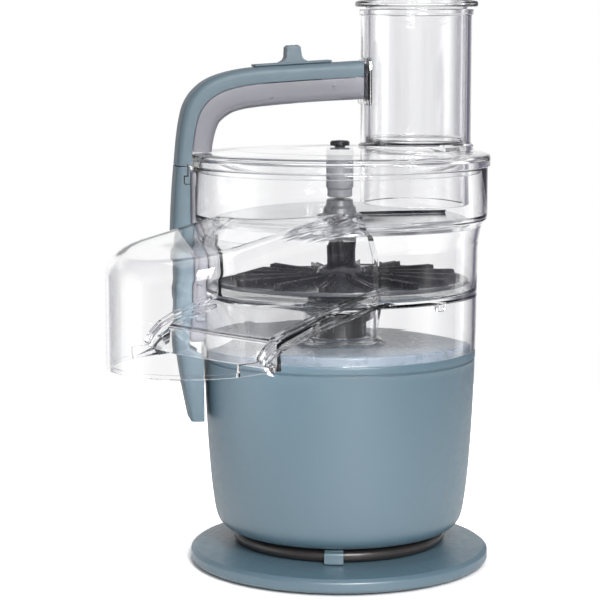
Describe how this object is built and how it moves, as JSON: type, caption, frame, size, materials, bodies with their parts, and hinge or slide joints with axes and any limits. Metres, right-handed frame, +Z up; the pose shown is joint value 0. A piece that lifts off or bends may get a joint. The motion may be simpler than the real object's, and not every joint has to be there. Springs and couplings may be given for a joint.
{
  "type": "food processor",
  "caption": "Compact food processor: round motor base, clear bowl with a side serving chute, lid with arm handle and feed tube, slicing disc over a finned slinger plate.",
  "frame": {"origin": "on the table plane that the feet stand on, under the centre of the base and on the drive axis; the flat underside of the base is 1.2 mm above it", "axes": "+Z up along the drive axis, +X towards the feed tube, -X towards the handle, -Y towards the front; the chute leaves to the front left"},
  "size_m": [0.2276, 0.2726, 0.3234],
  "materials": {
    "blue_plastic": "fine matte moulded",
    "clear_plastic": "clear polished SAN",
    "charcoal_plastic": "satin moulded",
    "grey_plastic": "satin moulded",
    "white_plastic": "satin moulded",
    "rubber": "matte",
    "steel": "brushed",
    "iron": "laminated, dull",
    "copper": "machined copper",
    "brass": "sintered",
    "circuit_board": "solder mask"
  },
  "bodies": {
    "base": {"base_plate": "blue_plastic", "base_cover": "charcoal_plastic", "foot_front_left": "rubber", "foot_front_right": "rubber", "foot_rear_right": "rubber", "foot_rear_left": "rubber", "base_screw_1": "steel", "base_screw_2": "steel", "base_screw_3": "steel", "base_screw_4": "steel", "bottom_cover": "charcoal_plastic", "cord_clip": "blue_plastic", "strain_relief": "rubber", "motor_housing": "blue_plastic", "top_deck": "blue_plastic", "gear_plate": "iron", "lower_bracket": "iron", "motor_stator": "iron", "lower_bearing": "steel", "upper_bearing": "steel", "spindle_bush": "brass", "spindle_bearing": "steel", "brush_holder_inner": "charcoal_plastic", "brush_holder_outer": "charcoal_plastic", "control_board": "circuit_board", "capacitor": "white_plastic", "reed_switch_board": "circuit_board", "cord_coil": "rubber", "cord_lead": "rubber", "plug_body": "rubber", "plug_pin_left": "steel", "plug_pin_right": "steel"},
    "rotor": {"rotor_core": "iron", "motor_shaft": "steel", "commutator": "copper", "cooling_fan": "charcoal_plastic", "motor_pinion": "steel"},
    "output": {"drive_gear": "white_plastic", "drive_spindle": "steel"},
    "bowl": {"chute_bowl": "clear_plastic", "bowl_handle_core": "clear_plastic", "bowl_handle_cover": "blue_plastic"},
    "hood": {"chute_hood": "clear_plastic"},
    "lower_rod": {"interlock_rod": "white_plastic", "interlock_magnet": "iron"},
    "tools": {"tool_carrier": "charcoal_plastic", "slinger_plate": "charcoal_plastic", "slicing_disc": "steel", "disc_hub": "grey_plastic"},
    "lid": {"lid": "clear_plastic", "lid_post": "grey_plastic", "lid_cap": "charcoal_plastic", "lid_handle_core": "clear_plastic", "lid_handle_cover": "blue_plastic"},
    "slider": {"control_slider": "blue_plastic", "slider_carriage": "charcoal_plastic"},
    "upper_rod": {"lid_rod": "white_plastic"},
    "pusher": {"pusher": "clear_plastic"}
  },
  "joints": [
    {"name": "motor_spin", "type": "hinge", "parent": "base", "child": "rotor", "pos_m": [0.03, 0, 0.1], "axis": [0, 0, 1], "continuous": true},
    {"name": "output_spin", "type": "hinge", "parent": "base", "child": "output", "pos_m": [0, 0, 0.1], "axis": [0, 0, 1], "continuous": true},
    {"name": "bowl_lift", "type": "slide", "parent": "base", "child": "bowl", "axis": [0, 0, 1], "range_m": [0, 0.12]},
    {"name": "hood_pull", "type": "slide", "parent": "bowl", "child": "hood", "axis": [-0.8241, -0.5664, 0], "range_m": [0, 0.06]},
    {"name": "tool_spin", "type": "hinge", "parent": "bowl", "child": "tools", "pos_m": [0, 0, 0.1632], "axis": [0, 0, 1], "continuous": true},
    {"name": "lower_rod_press", "type": "slide", "parent": "bowl", "child": "lower_rod", "axis": [0, 0, -1], "range_m": [0, 0.004], "stiffness_N_per_m": 120, "springref_m": -0.002},
    {"name": "lid_lift", "type": "slide", "parent": "bowl", "child": "lid", "axis": [0, 0, 1], "range_m": [0, 0.12]},
    {"name": "slider_travel", "type": "slide", "parent": "lid", "child": "slider", "axis": [0.9983, 0, 0.0587], "range_m": [0, 0.01]},
    {"name": "upper_rod_press", "type": "slide", "parent": "lid", "child": "upper_rod", "axis": [0, 0, -1], "range_m": [0, 0.004], "stiffness_N_per_m": 120, "springref_m": -0.002},
    {"name": "pusher_slide", "type": "slide", "parent": "lid", "child": "pusher", "axis": [0, 0, 1], "range_m": [0, 0.08]}
  ],
  "couplings": [
    {"joint": "output_spin", "follows": "motor_spin", "ratio": -0.25},
    {"joint": "tool_spin", "follows": "motor_spin", "ratio": -0.25},
    {"joint": "upper_rod_press", "follows": "slider_travel", "ratio": 0.4},
    {"joint": "lower_rod_press", "follows": "slider_travel", "ratio": 0.4}
  ]
}
